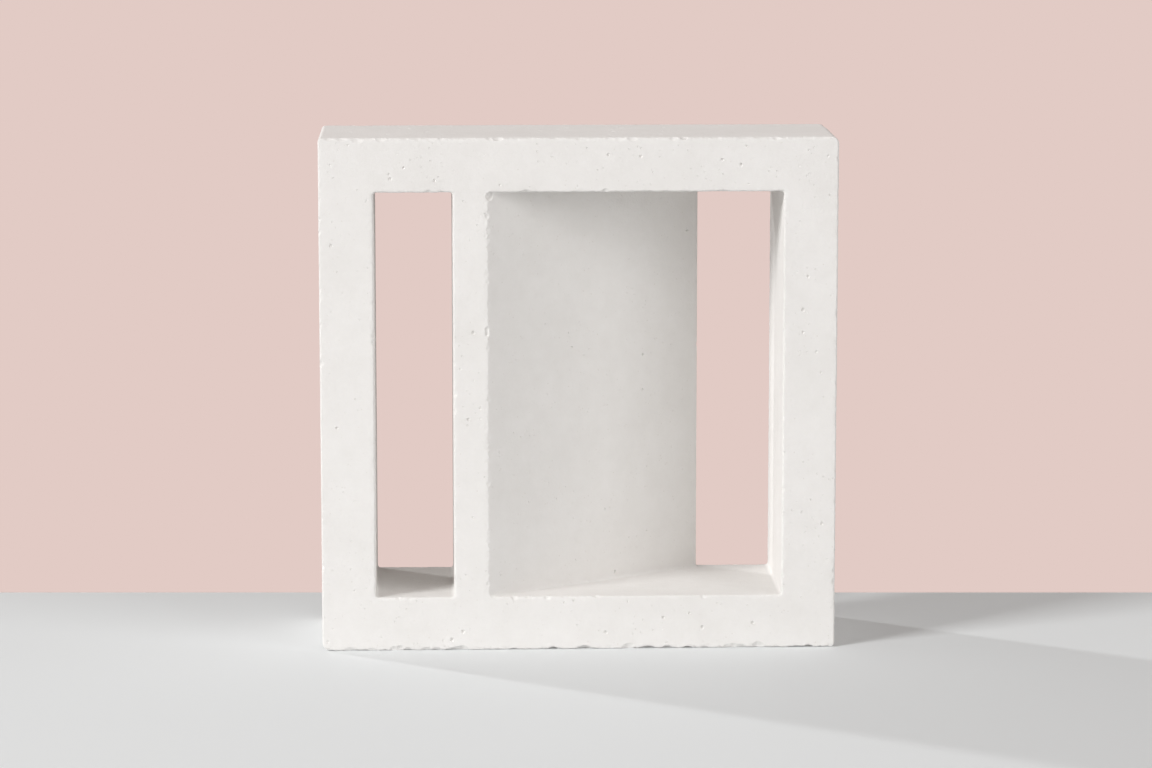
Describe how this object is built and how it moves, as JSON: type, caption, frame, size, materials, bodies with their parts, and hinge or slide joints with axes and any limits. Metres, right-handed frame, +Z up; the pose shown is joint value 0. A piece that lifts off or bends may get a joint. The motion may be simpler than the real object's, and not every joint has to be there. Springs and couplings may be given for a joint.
{
  "type": "concrete screen block",
  "caption": "Square openwork concrete block: a thick frame crossed by an upright web whose slanted side narrows the opening towards the back face.",
  "frame": {"origin": "middle of the lower bed, on the plane that the block stands on", "axes": "Seen on the face with the narrow web nose, X is to the right, +Y runs through the block from that face to the face with the wide panel, and Z is up from bed to bed"},
  "size_m": [0.29, 0.09, 0.29],
  "materials": {
    "concrete": "matte cast concrete"
  },
  "bodies": {
    "root": {"concrete_block": "concrete"}
  },
  "joints": []
}
